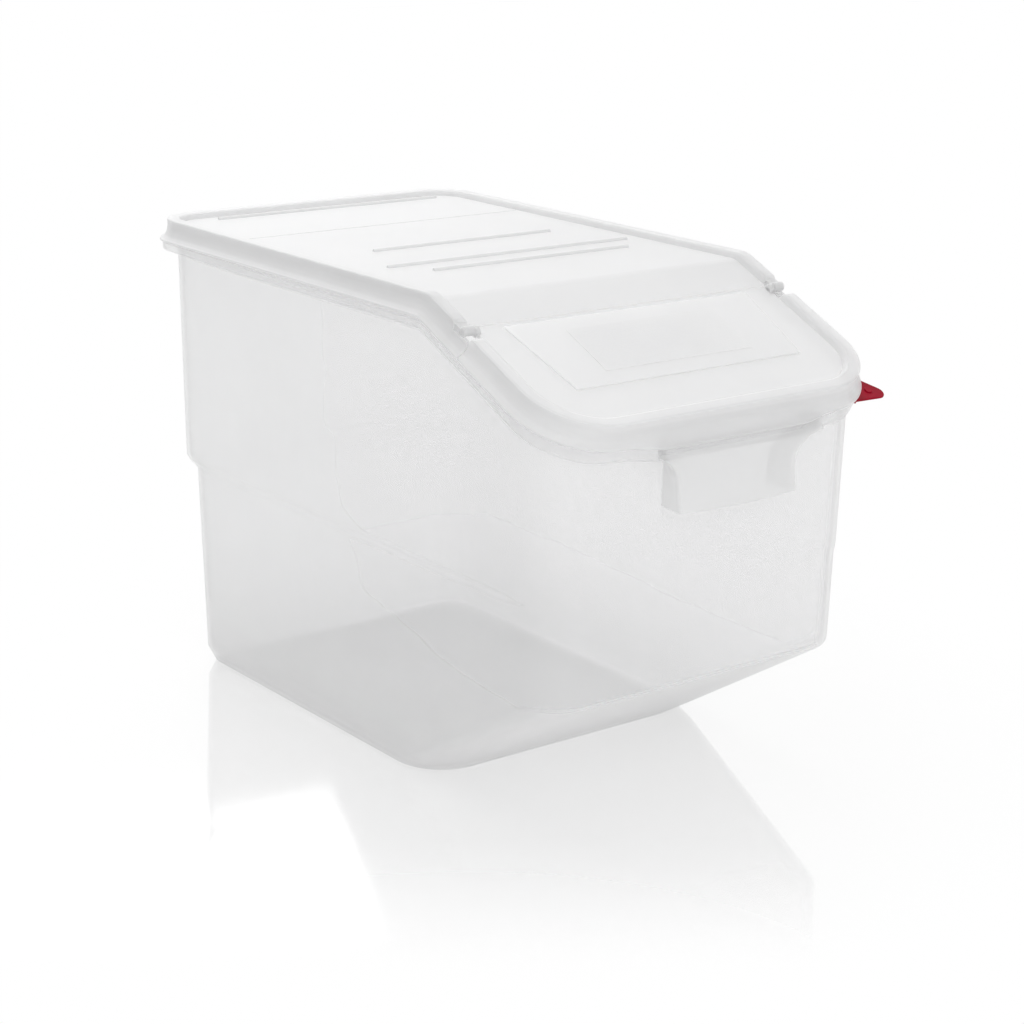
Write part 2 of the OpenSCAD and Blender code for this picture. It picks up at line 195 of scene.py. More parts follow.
def make_object(name, verts, faces, smooth_angle=38.0):
    """A smooth-shaded mesh object whose faces point outwards."""
    mesh = bpy.data.meshes.new(name)
    mesh.from_pydata([tuple(v) for v in verts], [], faces)
    mesh.validate()
    bm = bmesh.new()
    bm.from_mesh(mesh)
    bmesh.ops.remove_doubles(bm, verts=bm.verts, dist=1e-6)
    bmesh.ops.recalc_face_normals(bm, faces=bm.faces)
    for f in bm.faces:
        f.smooth = True
    for e in bm.edges:
        if len(e.link_faces) == 2 and e.calc_face_angle(0) > math.radians(smooth_angle):
            e.smooth = False
    bm.to_mesh(mesh)
    bm.free()
    obj = bpy.data.objects.new(name, mesh)
    bpy.context.scene.collection.objects.link(obj)
    return obj


def stacked(verts, faces, rings):
    """Rings of points one after the other, joined by quads and closed at both ends."""
    start = len(verts)
    count = len(rings[0])
    verts.extend(p for ring in rings for p in ring)
    for row in range(len(rings) - 1):
        a = start + row * count
        b = a + count
        for i in range(count):
            j = (i + 1) % count
            faces.append((a + i, a + j, b + j, b + i))
    last = start + (len(rings) - 1) * count
    faces.append(tuple(start + i for i in range(count)))
    faces.append(tuple(last + i for i in range(count)))


# The lid's two mouldings

PANEL_IN = 12.0
SEAM_SOFT = 1.1

# Outlines of sections through the rim: how far out from the rim's outer edge, and how high
RIM_SECTION = [
    (-PANEL_IN, PANEL_N), (-10.4, -1.3), (-9.0, 0.0), (-1.3, 0.0), (-0.1, -0.5), (0.0, -1.7),
    (-0.1, -5.4), (0.5, -9.4), (1.9, -12.5), (4.4, -14.5), (6.0, -15.3), (6.0, -16.8), (4.6, -16.8),
    (3.0, -15.8), (0.2, -14.0), (-1.5, -10.8), (-2.2, -6.2), (-2.2, -2.2), (-8.4, -2.2), (-9.4, -3.0),
    (-PANEL_IN, PANEL_N - LID_WALL),
]
SKIRT_SECTION = [(-0.1, -6.0)] + RIM_SECTION[7:17]
# The crest's height near its cut end: how far from the cut, and the share of the full height
RIM_END = ((0.0, 0.25), (0.6, 0.62), (1.8, 0.88), (3.6, 1.0))
SEAL_SECTION = [(-5.6, -2.0), (-4.0, -2.0), (-4.0, -7.2), (-5.6, -7.2)]
RUN_CLEAR = 1.0
SWELL_FROM = 1.0


def smooth_section(section):
    """The rim's section with round corners, but with its two panel ends kept sharp."""
    inner = softened(section, SEAM_SOFT)
    return [section[0]] + inner[SOFT_STEPS + 1:-SOFT_STEPS - 1] + [section[-1]]


def open_run(section, cut_u, to_front, swell_from=None, end_steps=((0.0, 1.0),)):
    """Rings along the rim past cut_u, each a copy of the section; end_steps lower its crest near the cut."""
    away = -1 if to_front else 1
    loops = []
    for out, n in section:
        swell = 0.0
        if swell_from is not None and out > swell_from:
            swell = min(1.0, (out - swell_from) / (LIP - swell_from))
        loops.append(rim_loop(out, swell))
    base = rim_loop(0.0)
    reach = end_steps[-1][0] + RUN_CLEAR
    keep = [i for i, (_, u) in enumerate(base) if away * (u - cut_u) > reach]
    if to_front:
        keep = [i for i in keep if base[i][0] < 0] + [i for i in keep if base[i][0] >= 0]

    def end_ring(side, run, height):
        ring = []
        for out, n in section:
            lowered = PANEL_N + (n - PANEL_N) * height if n > PANEL_N else n
            ring.append(fold(side * (RIM_HALF + out), cut_u + away * run, lowered))
        return ring

    rings = [end_ring(away, run, height) for run, height in end_steps]
    for i in keep:
        rings.append([fold(*loops[k][i], n) for k, (out, n) in enumerate(section)])
    rings += [end_ring(-away, run, height) for run, height in reversed(end_steps)]
    return rings


def swept(rings, skip=None):
    """Verts and faces of rings of points joined along a run, capped at both ends."""
    verts = [p for ring in rings for p in ring]
    count = len(rings[0])
    faces = []
    for r in range(len(rings) - 1):
        for k in range(count):
            if k == skip:
                continue
            m = (k + 1) % count
            faces.append((r * count + k, (r + 1) * count + k, (r + 1) * count + m, r * count + m))
    faces.append(tuple(range(count)))
    faces.append(tuple((len(rings) - 1) * count + k for k in range(count)))
    return verts, faces


def panel_with_rim(cut_u, panel_u, to_front, swell_from):
    """A moulding: the rim run with its section, and the panel that fills it, as one closed skin."""
    section = smooth_section(RIM_SECTION)
    rings = open_run(section, cut_u, to_front, swell_from, RIM_END)
    count = len(section)
    verts, faces = swept(rings, skip=count - 1)
    # The run's inner ends at the panel's top and underside
    top = [r * count for r in range(len(rings))]
    low = [r * count + count - 1 for r in range(len(rings))]
    # The panel runs past the rim's ends up to the joint
    first = -1 if to_front else 1
    corners = []
    for x in (first * (RIM_HALF - PANEL_IN), -first * (RIM_HALF - PANEL_IN)):
        for n in (PANEL_N, PANEL_N - LID_WALL):
            verts.append(fold(x, panel_u, n))
            corners.append(len(verts) - 1)
    a_top, a_low, b_top, b_low = corners
    faces.append((a_top, a_low, b_low, b_top))
    faces.append((top[0], low[0], a_low, a_top))
    faces.append((top[-1], low[-1], b_low, b_top))
    i, j = 0, len(top) - 1
    last = (a_top, b_top, a_low, b_low)
    while i < j:
        faces.append((last[0], last[1], top[j], top[i]))
        faces.append((last[2], last[3], low[j], low[i]))
        last = (top[i], top[j], low[i], low[j])
        i += 1
        j -= 1
    if i == j:
        faces.append((last[0], last[1], top[i]))
        faces.append((last[2], last[3], low[i]))
    return verts, faces


ROUND_STEPS = 28
STUB_BEVEL = 0.4


def circle_across(x, u, n, r):
    """A circle of points round a line that runs across the lid."""
    turns = [2 * math.pi * i / ROUND_STEPS for i in range(ROUND_STEPS)]
    return [fold(x, u + r * math.cos(a), n + r * math.sin(a)) for a in turns]


def add_tube(verts, faces, x0, x1, u, n, r, bevel):
    """A round bar across the lid with bevelled ends."""
    ends = [(x0, r - bevel), (x0 + bevel, r), (x1 - bevel, r), (x1, r - bevel)]
    stacked(verts, faces, [circle_across(x, u, n, end_r) for x, end_r in ends])


def add_block(verts, faces, x0, x1, u0, u1, n0, n1):
    """A block on the flat lid."""
    start = len(verts)
    for u in (u0, u1):
        for n in (n0, n1):
            for x in (x0, x1):
                verts.append(fold(x, u, n))
    for f in ((0, 1, 3, 2), (4, 5, 7, 6), (0, 1, 5, 4), (2, 3, 7, 6), (0, 2, 6, 4), (1, 3, 7, 5)):
        faces.append(tuple(start + v for v in f))


def rear_lid_mesh():
    """The fixed part of the lid: the rim round its back and sides, and the panel that fills it."""
    cut = down_slope(REAR_RIM_S)
    verts, faces = panel_with_rim(cut, down_slope(JOINT_S), False, None)
    return make_object("rear_lid_moulding", verts, faces)


def loose_part(name, build):
    """An object from a function that adds to verts and faces."""
    verts, faces = [], []
    build(verts, faces)
    return make_object(name, verts, faces)


def seal_mesh(name, cut_u, to_front):
    """The wall inside the rim that plugs the tub's mouth."""
    return make_object(name, *swept(open_run(SEAL_SECTION, cut_u, to_front)))


TAIL_MARKS = (REAR_RIM_S - 0.2, 38.0, 42.0, 46.0, 49.0, 51.0, SEAM_S - 0.6, SEAM_S)
TAIL_SOFT = 0.8
TAIL_TOP = -6.2
TAIL_LOWER = -9.0
DROOP_FROM = 49.0
DROOP = 0.12


def build_skirt_tails(verts, faces):
    """The two ends of the rear skirt that run on below the hinge notch, with a drooping top edge."""
    section = softened(SKIRT_SECTION, TAIL_SOFT)
    for side in (-1, 1):
        rings = []
        for s in TAIL_MARKS:
            top = TAIL_TOP - DROOP * max(0.0, s - DROOP_FROM) ** 2
            rings.append([fold(side * (RIM_HALF + out), down_slope(s), min(n, top) if n > TAIL_LOWER else n)
                          for out, n in section])
        stacked(verts, faces, rings)


LUG_X0, LUG_X1 = 134.0, 143.2
EAR_X0, EAR_X1 = 129.4, 133.4
LUG_R, EAR_R, STUB_R = 3.5, 3.2, 2.4
STUB_END = 141.0
KNUCKLE_BEVEL = 1.1
BORE_R, BORE_END, BORE_EDGE = 2.8, 141.7, 0.3
WEB_TOP, WEB_CLEAR, WEB_INTO = -1.8, 0.2, 0.6
EAR_TRIM, STUB_INTO = 0.05, 0.5


def build_lugs(verts, faces):
    """The rear lid's two hinge lugs, each with a bore for the flap's stub and a web back to the rim."""
    u = down_slope(HINGE_S)
    profile = [
        (BORE_END, BORE_R), (LUG_X0, BORE_R), (LUG_X0, LUG_R - BORE_EDGE), (LUG_X0 + BORE_EDGE, LUG_R),
        (LUG_X1 - KNUCKLE_BEVEL, LUG_R), (LUG_X1, LUG_R - KNUCKLE_BEVEL),
    ]
    for side in (-1, 1):
        stacked(verts, faces, [circle_across(side * x, u, HINGE_N, r) for x, r in profile])
        a, b = sorted((side * LUG_X0, side * LUG_X1))
        web_end = down_slope(REAR_RIM_S - WEB_INTO)
        add_block(verts, faces, a, b, u + BORE_R + WEB_CLEAR, web_end, HINGE_N - LUG_R, WEB_TOP)


def build_ears(verts, faces):
    """The flap's two ears, each with the stub that turns in a lug's bore."""
    u = down_slope(HINGE_S)
    for side in (-1, 1):
        a, b = sorted((side * EAR_X0, side * EAR_X1))
        add_tube(verts, faces, a, b, u, HINGE_N, EAR_R, KNUCKLE_BEVEL)
        add_block(verts, faces, a, b, u - EAR_R, u + EAR_R, PANEL_N - LID_WALL + EAR_TRIM, HINGE_N)
        a, b = sorted((side * (EAR_X1 - STUB_INTO), side * STUB_END))
        add_tube(verts, faces, a, b, u, HINGE_N, STUB_R, STUB_BEVEL)


# The lid's ribs, each with its place from the bend and its length
RIBS = [(82.0, 178.0), (109.0, 220.0), (169.0, 164.0), (355.0, 210.0)]
RIB_SHIFT = 8.0
RIB_R = 1.7
RIB_SINK = 0.2
FIELD_U = 265.0
FIELD_HALF = 130.0
FIELD_LINE_R = 0.32
FIELD_RUNS = [(-FIELD_HALF, FIELD_HALF, FIELD_U, PANEL_N)]
END_RUNS = (0.0, 0.12, 0.35, 0.7, 1.2, 2.0, 4.0)
BAR_SIDES = 14
BAR_TIP = 0.01


def lines_object(name, runs):
    """An object of bare edges, a line for each (left x, right x, u, n) with closer points near its ends."""
    verts, edges = [], []
    for left, right, u, n in runs:
        start = len(verts)
        places = [left + d for d in END_RUNS] + [right - d for d in reversed(END_RUNS)]
        verts.extend(tuple(fold(x, u, n)) for x in places)
        edges.extend((start + i, start + i + 1) for i in range(len(places) - 1))
    mesh = bpy.data.meshes.new(name)
    mesh.from_pydata(verts, edges, [])
    obj = bpy.data.objects.new(name, mesh)
    bpy.context.scene.collection.objects.link(obj)
    return obj


def bar_tree(material):
    """Geometry nodes that lay a bar with round ends along each line they are given."""
    tree = bpy.data.node_groups.new("bars_along_lines", "GeometryNodeTree")
    tree.interface.new_socket("Lines", in_out="INPUT", socket_type="NodeSocketGeometry")
    tree.interface.new_socket("Bar radius", in_out="INPUT", socket_type="NodeSocketFloat")
    tree.interface.new_socket("Bars", in_out="OUTPUT", socket_type="NodeSocketGeometry")
    g = Nodes(tree)
    given = tree.nodes.new("NodeGroupInput")
    lines = Sock(g, given.outputs["Lines"])
    radius = Sock(g, given.outputs["Bar radius"])
    curve = g.node("GeometryNodeMeshToCurve", {}, {"Mesh": lines}, "Curve")
    along = g.node("GeometryNodeSplineParameter", {}, {}, "Length")
    total = g.node("GeometryNodeSplineLength", {}, {}, "Length")
    to_end = g.node("ShaderNodeMath", {"operation": "MINIMUM"}, {0: along, 1: total - along})
    inward = g.node("ShaderNodeMath", {"operation": "MINIMUM"}, {0: to_end / radius, 1: 1.0})
    round_end = g.node("ShaderNodeMath", {"operation": "SQRT"}, {
        0: BAR_TIP + inward * (2 - inward) * (1 - BAR_TIP)})
    shaped = g.node("GeometryNodeSetCurveRadius", {}, {"Curve": curve, "Radius": round_end}, "Curve")
    ring = g.node("GeometryNodeCurvePrimitiveCircle", {}, {
        "Resolution": BAR_SIDES, "Radius": radius}, "Curve")
    bar = g.node("GeometryNodeCurveToMesh", {}, {
        "Curve": shaped, "Profile Curve": ring, "Fill Caps": True}, "Mesh")
    real = g.node("GeometryNodeRealizeInstances", {}, {"Geometry": bar}, "Geometry")
    coated = g.node("GeometryNodeSetMaterial", {}, {"Geometry": real, "Material": material}, "Geometry")
    out = tree.nodes.new("NodeGroupOutput")
    tree.links.new(coated.socket, out.inputs["Bars"])
    return tree


def bars_along(name, runs, radius, tree):
    """A plain mesh object of the bars that the tree lays along the runs."""
    lines = lines_object(name + "_lines", runs)
    modifier = lines.modifiers.new("bars", "NODES")
    modifier.node_group = tree
    sockets = {item.name: item.identifier for item in tree.interface.items_tree if item.in_out == "INPUT"}
    modifier[sockets["Bar radius"]] = radius * MM
    shown = lines.evaluated_get(bpy.context.evaluated_depsgraph_get())
    mesh = bpy.data.meshes.new_from_object(shown)
    bpy.data.objects.remove(lines)
    mesh.name = name
    for face in mesh.polygons:
        face.use_smooth = True
    obj = bpy.data.objects.new(name, mesh)
    bpy.context.scene.collection.objects.link(obj)
    return obj


def rib_runs():
    """The four ribs, slightly right of the lid's middle."""
    n = PANEL_N + RIB_SINK
    return [(RIB_SHIFT - length / 2, RIB_SHIFT + length / 2, u, n) for u, length in RIBS]


def flap_mesh():
    """The flap: the rim round its front and sides, with the lip that swells forward, and its panel."""
    cut = down_slope(SEAM_S + GAP)
    verts, faces = panel_with_rim(cut, down_slope(JOINT_S + GAP), True, SWELL_FROM)
    return make_object("flip_flap_moulding", verts, faces)


PAD_TOP, PAD_LOW, PAD_S0, PAD_S1 = 108.0, 99.0, 42.0, 117.0
# The soft edge of the label panel: how far in, and how high above the flap's panel
PAD_EDGE = ((0.0, -0.3), (0.0, 0.45), (0.35, 0.85), (0.9, 1.0))


def build_pad(verts, faces):
    """The raised label panel of the flap, with soft edges."""
    rings = []
    for inset, h in PAD_EDGE:
        ring = []
        for half, s, sides in ((PAD_TOP, PAD_S0 + inset, (-1, 1)), (PAD_LOW, PAD_S1 - inset, (1, -1))):
            ring.extend(fold(side * (half - inset), down_slope(s), PANEL_N + h) for side in sides)
        rings.append(ring)
    stacked(verts, faces, rings)


# The tub

TUB_HALF, TUB_BACK, TUB_FRONT = 140.5, 251.5, -248.0
WALL_TOP = LID_TOP + FLANGE_N
SHOULDER, SHOULDER_BACK, SHOULDER_SIDE, SHOULDER_RISE = 171.0, 14.5, 1.2, 9.0
TUB_R, FLOOR_FRONT_R, FOOT_R, KICK_R, KICK_H = 31.0, 45.0, 12.0, 6.0, 93.0
FLOOR_FRONT = TUB_FRONT + 160.0
HALF_TAPER, FRONT_TAPER, LOW_BACK_TAPER = 6.5, 7.0, 5.5
KICK_STEPS = 8
BEND_BLEND = 6.0
UPPER_ROWS = 14
INSIDE_DROP = 0.2
LEVELS = (104, 112, 124, 140, 155, 160, 162, 163.5, 165, 166.5, 168, 169.5, SHOULDER)


def half_at(z):
    """Half the tub's width at height z."""
    return TUB_HALF - HALF_TAPER * (1 - z / WALL_TOP)


def front_at(z):
    """The front wall's place at height z."""
    return TUB_FRONT + FRONT_TAPER * (1 - z / WALL_TOP)


def low_back_at(z):
    """The back wall's place at height z, under the shoulder."""
    return TUB_BACK - SHOULDER_BACK - LOW_BACK_TAPER * (1 - z / SHOULDER)


def ease(t):
    """A smooth step from 0 to 1."""
    t = max(0.0, min(1.0, t))
    return t * t * (3 - 2 * t)


def kick_profile(inset):
    """Points (y, z) up the middle of the front: resting face, kicked-up underside and foot of the wall."""
    foot_y, foot_z, foot_r = FLOOR_FRONT, FOOT_R, FOOT_R - inset
    kick_y, kick_z, kick_r = front_at(KICK_H) + KICK_R, KICK_H + KICK_R, KICK_R - inset
    dy, dz = kick_y - foot_y, kick_z - foot_z
    turn = math.atan2(dz, dy) + math.pi / 2 - math.asin((foot_r - kick_r) / math.hypot(dy, dz))
    turn = math.atan2(math.sin(turn), math.cos(turn))
    if turn > 0:
        turn -= 2 * math.pi
    pts = []
    for i in range(KICK_STEPS + 1):
        a = -math.pi / 2 + (turn + math.pi / 2) * i / KICK_STEPS
        pts.append((foot_y + foot_r * math.cos(a), foot_z + foot_r * math.sin(a)))
    from_y, from_z = pts[-1]
    to_y, to_z = kick_y + kick_r * math.cos(turn), kick_z + kick_r * math.sin(turn)
    for i in range(1, KICK_STEPS):
        t = i / KICK_STEPS
        pts.append((from_y + (to_y - from_y) * t, from_z + (to_z - from_z) * t))
    for i in range(KICK_STEPS + 1):
        a = turn + (-math.pi - turn) * i / KICK_STEPS
        pts.append((kick_y + kick_r * math.cos(a), kick_z + kick_r * math.sin(a)))
    return pts


def foot_inset(z, inset):
    """How far a rounded foot edge pulls the wall in at height z."""
    r = FOOT_R - inset
    if z >= FOOT_R:
        return 0.0
    d = FOOT_R - z
    return r - math.sqrt(max(0.0, r * r - d * d))


def tub_ring(z, y_front, inset):
    """A level ring round the tub at height z; inset is the wall's thickness for the inside."""
    pull = foot_inset(z, inset)
    step = ease((z - (SHOULDER - SHOULDER_RISE)) / SHOULDER_RISE)
    side_step = SHOULDER_SIDE * (1 - step)
    half = half_at(z) - side_step - inset - pull
    low_back = low_back_at(min(z, SHOULDER))
    back = low_back + (TUB_BACK - low_back) * step if z <= SHOULDER else TUB_BACK
    back -= inset + pull
    mix = max(0.0, min(1.0, z / (KICK_H + KICK_R)))
    r_front = FLOOR_FRONT_R + (TUB_R - FLOOR_FRONT_R) * mix - pull - inset
    r_back = TUB_R - inset - pull
    pts = rounded_loop(half, y_front, back, r_front, r_back, SIDE_PART)
    return [Vector((x * MM, y * MM, z * MM)) for x, y in pts]


def flange_under(y, depth):
    """Height at place y of a plane this deep under the lid's, rounded where it bends."""
    bend = BEND_Y + depth * math.tan(SLOPE / 2)
    level = LID_TOP - depth
    if y >= bend + BEND_BLEND:
        return level
    if y <= bend - BEND_BLEND:
        return level + (y - bend) * math.tan(SLOPE)
    t = (bend + BEND_BLEND - y) / (2 * BEND_BLEND)
    return level - math.tan(SLOPE) * BEND_BLEND * t * t


def upper_rings(inset, depth):
    """Rings from the shoulder up to the flange, whose top follows the slope of the lid."""
    corner = TUB_R - inset
    base = rounded_loop(TUB_HALF - inset, TUB_FRONT + inset, TUB_BACK - inset, corner, corner, SIDE_PART)
    rings = []
    for row in range(1, UPPER_ROWS + 1):
        ring = []
        for x, y in base:
            z = SHOULDER + (flange_under(y, depth) - SHOULDER) * row / UPPER_ROWS
            pull_x = (half_at(z) - TUB_HALF) * min(1.0, abs(x) / (TUB_HALF - TUB_R))
            pull_y = (front_at(z) - TUB_FRONT) * max(0.0, min(1.0, (TUB_BACK - y) / (TUB_BACK - TUB_FRONT)))
            ring.append(Vector(((x + math.copysign(1, x) * pull_x) * MM, (y + pull_y) * MM, z * MM)))
        rings.append(ring)
    return rings


EDGE_FADE = 90.0
EDGE_MORE = 3.2
EDGE_RIGHT = 1.5
EDGE_BACK, EDGE_BACK_FROM, EDGE_BACK_RUN = 1.6, 250.0, 100.0
CLIP_SIDE, CLIP_FADE = 116.0, 16.0


def edge_more(x, u):
    """How much deeper than at the sides the flange's turned-down edge is here, but not at the clip."""
    front = ease((FRONT_U + EDGE_FADE - u) / EDGE_FADE)
    clear_of_clip = 1 - ease((x - CLIP_SIDE) / CLIP_FADE)
    back = ease((u - EDGE_BACK_FROM) / EDGE_BACK_RUN)
    return (EDGE_MORE + EDGE_RIGHT * ease(x / CLIP_SIDE)) * front * clear_of_clip - EDGE_BACK * back


def wall_rings(inset, depth):
    """Rings of the tub's outside, or of its inside at the wall's thickness, from the floor to the flange."""
    rings = [tub_ring(z, y, inset) for y, z in kick_profile(inset)]
    rings += [tub_ring(z, front_at(z) + inset, inset) for z in LEVELS]
    return rings + upper_rings(inset, depth)


def tub_mesh():
    """The whole tub as one closed skin: outside, flange, upright rim, inside and floor."""
    under = FLANGE_N - FLANGE_WALL
    edge_in = FLANGE_OUT - EDGE_WALL
    edge_low = FLANGE_N - EDGE_H
    # Each row: how far out from the rim, height, share of the front's swell, share of the deeper front edge
    flange = [
        (-1.5, under, 0.2, 0.0), (edge_in - 0.5, under, 1.0, 0.0), (edge_in, under - 0.5, 1.0, 0.0),
        (edge_in, edge_low + 0.7, 1.0, 1.0), (edge_in + 0.3, edge_low, 1.0, 1.0),
        (FLANGE_OUT - 0.9, edge_low, 1.0, 1.0), (FLANGE_OUT - 0.2, edge_low + 0.6, 1.0, 1.0),
        (FLANGE_OUT, edge_low + 2.4, 1.0, 0.5), (FLANGE_OUT, FLANGE_N - 0.9, 1.0, 0.0),
        (FLANGE_OUT - 0.25, FLANGE_N - 0.25, 1.0, 0.0), (FLANGE_OUT - 0.9, FLANGE_N, 1.0, 0.0),
        (-3.2, FLANGE_N, 0.0, 0.0), (-3.5, FLANGE_N + 0.4, 0.0, 0.0), (-3.5, -8.0, 0.0, 0.0),
        (-4.0, -7.5, 0.0, 0.0), (-5.5, -7.5, 0.0, 0.0), (-6.0, -8.0, 0.0, 0.0),
        (-6.0, FLANGE_N + 0.3, 0.0, 0.0), (-6.6, FLANGE_N, 0.0, 0.0),
    ]
    rims = []
    for out, n, swell, deep in flange:
        rims.append([fold(x, u, n - deep * edge_more(x, u)) for x, u in rim_loop(out, swell)])
    outside = wall_rings(0.0, FLANGE_WALL - FLANGE_N)
    inside = wall_rings(TUB_WALL, INSIDE_DROP - FLANGE_N)
    verts, faces = [], []
    stacked(verts, faces, outside + rims + inside[::-1])
    return make_object("tub_moulding", verts, faces, smooth_angle=50.0)


HOOD_HALF, HOOD_ROOT, HOOD_MID, HOOD_LOW, HOOD_WALL = 52.0, 48.5, 2.5, 228.0, 2.4
HOOD_TOP_Y, HOOD_LOW_Y, HOOD_CORNER, HOOD_BOW = -263.5, -269.3, 2.6, 1.4
HOOD_ROWS, HOOD_CHEEK, HOOD_BEND, HOOD_SPAN = 26, 6, 5, 24
# How far the cheeks run into the front wall, how far the hood starts under the flange's top, how much closer
# together its upper rows are, and the inner corner's share of the wall
HOOD_BITE, HOOD_UNDER, HOOD_CROWD, HOOD_INNER = 0.8, 1.2, 1.4, 0.5
# The flare starts under the flange's edge and is wider on the right than on the left
FLARE_TOP, FLARE_DEPTH, FLARE_LEFT, FLARE_RIGHT = 10.0, 20.0, 15.0, 28.0


def hood_side(z, skin_y, flare_out, root_out, inset):
    """Points (x, y) of one cheek, from its root at the front wall round the corner to the skin."""
    wall_y = front_at(z) + HOOD_BITE
    half = HOOD_HALF + flare_out - inset
    root = HOOD_ROOT + root_out - inset
    r = HOOD_CORNER - inset * HOOD_INNER
    side = []
    for i in range(HOOD_CHEEK):
        t = i / HOOD_CHEEK
        side.append((root + (half - root) * t, wall_y + (skin_y + r - wall_y) * t))
    for i in range(HOOD_BEND + 1):
        a = math.pi / 2 * i / HOOD_BEND
        side.append((half - r + r * math.cos(a), skin_y + r - r * math.sin(a)))
    return side


def hood_row(z, z_top, inset):
    """Points of the hood at height z, from the left cheek's root by the skin to the right cheek's root."""
    depth = z_top - z
    reach = max(0.0, min(1.0, (FLARE_TOP + FLARE_DEPTH - depth) / FLARE_DEPTH))
    flare = 1 - math.sqrt(1 - reach * reach)
    part = depth / (z_top - HOOD_LOW)
    skin_y = HOOD_TOP_Y + (HOOD_LOW_Y - HOOD_TOP_Y) * part + inset
    left = [(-x, y) for x, y in hood_side(z, skin_y, flare * FLARE_LEFT, 0.0, inset)]
    right = hood_side(z, skin_y, flare * FLARE_RIGHT, flare * FLARE_RIGHT, inset)[::-1]
    width = right[0][0] - left[-1][0]
    span = [(left[-1][0] + width * i / HOOD_SPAN, skin_y) for i in range(1, HOOD_SPAN)]
    bow = HOOD_BOW * part
    return [Vector(((x + HOOD_MID) * MM, y * MM, (z - bow * max(0.0, 1 - (x / HOOD_HALF) ** 2)) * MM))
            for x, y in left + span + right]


def hood_mesh():
    """The pull hood: a skin flared into the flange, with side cheeks back to the front wall."""
    z_top = fold(0.0, FRONT_U - FLANGE_OUT, FLANGE_N - HOOD_UNDER).z / MM
    heights = [z_top - (z_top - HOOD_LOW) * (i / HOOD_ROWS) ** HOOD_CROWD for i in range(HOOD_ROWS + 1)]
    layers = [[hood_row(z, z_top, inset) for z in heights] for inset in (0.0, HOOD_WALL)]
    width = len(layers[0][0])
    verts = [p for layer in layers for row in layer for p in row]
    per = len(heights) * width
    faces = []
    for r in range(HOOD_ROWS):
        for c in range(width - 1):
            a = r * width + c
            faces.append((a, a + 1, a + width + 1, a + width))
            faces.append((per + a, per + a + 1, per + a + width + 1, per + a + width))
    for c in range(width - 1):
        for r in (0, HOOD_ROWS):
            a = r * width + c
            faces.append((a, a + 1, per + a + 1, per + a))
    for r in range(HOOD_ROWS):
        for c in (0, width - 1):
            a = r * width + c
            faces.append((a, a + width, per + a + width, per + a))
    return make_object("pull_hood", verts, faces, smooth_angle=40.0)


# The clip

CLIP_AT = math.radians(-29.0)
CLIP_HALF, CLIP_T, CLIP_GAP, CLIP_HOOK, CLIP_SOFT = 18.0, 1.5, 0.3, 1.6, 0.4
CLIP_EDGE = FRONT_CORNER + FLANGE_OUT
CLIP_IN = CLIP_EDGE - EDGE_WALL
CLIP_LOW = FLANGE_N - EDGE_H - CLIP_GAP - CLIP_T
CLIP_OUT_WALL, CLIP_IN_WALL = CLIP_EDGE + CLIP_GAP, CLIP_IN - CLIP_GAP
HOOK_TOP = CLIP_LOW + CLIP_T + CLIP_GAP + CLIP_HOOK
# The clip's section: how far out from the middle of the corner, and how high
CLIP_SECTION = [
    (CLIP_IN_WALL - CLIP_T, CLIP_LOW), (CLIP_OUT_WALL + CLIP_T, CLIP_LOW),
    (CLIP_OUT_WALL + CLIP_T, FLANGE_N - 1), (CLIP_OUT_WALL, FLANGE_N - 1),
    (CLIP_OUT_WALL, CLIP_LOW + CLIP_T), (CLIP_IN_WALL, CLIP_LOW + CLIP_T),
    (CLIP_IN_WALL, HOOK_TOP), (CLIP_IN_WALL - CLIP_T, HOOK_TOP),
]
CLIP_STEPS = 14
TAB_REACH, TAB_TIP, TAB_T, TAB_BEVEL, TIP_STEPS = 79.0, 6.5, 1.6, 0.4, 16
TAB_TOP = CLIP_LOW + TAB_T
BOSS_AT, BOSS_R, BOSS_H, BOSS_EDGE, BOSS_STEPS = 67.0, 3.2, 0.8, 0.3, 24


def clip_place(r, across, n):
    """A point of the clip: r out from the corner's middle, across to one side of the clip's middle line."""
    x = r * math.cos(CLIP_AT) - across * math.sin(CLIP_AT)
    u = r * math.sin(CLIP_AT) + across * math.cos(CLIP_AT)
    return fold(RIM_HALF - FRONT_CORNER + x, FRONT_U + FRONT_CORNER + u, n)


def tab_ring(inset, n):
    """The tab's outline: a triangle with a round tip."""
    base = CLIP_EDGE * math.cos(CLIP_HALF / CLIP_EDGE) - 1 + inset
    centre = TAB_REACH - TAB_TIP
    run = math.hypot(centre - base, CLIP_HALF)
    turn = math.pi / 2 - math.atan2(CLIP_HALF, centre - base) + math.asin(TAB_TIP / run)
    half = CLIP_HALF - inset
    pts = [(base, half)]
    for i in range(TIP_STEPS + 1):
        a = turn - 2 * turn * i / TIP_STEPS
        pts.append((centre + (TAB_TIP - inset) * math.cos(a), (TAB_TIP - inset) * math.sin(a)))
    pts.append((base, -half))
    return [clip_place(r, across, n) for r, across in pts]


def boss_ring(r, n):
    """A circle of points round the tab's boss."""
    turns = [2 * math.pi * i / BOSS_STEPS for i in range(BOSS_STEPS)]
    return [clip_place(BOSS_AT + r * math.cos(a), r * math.sin(a), n) for a in turns]


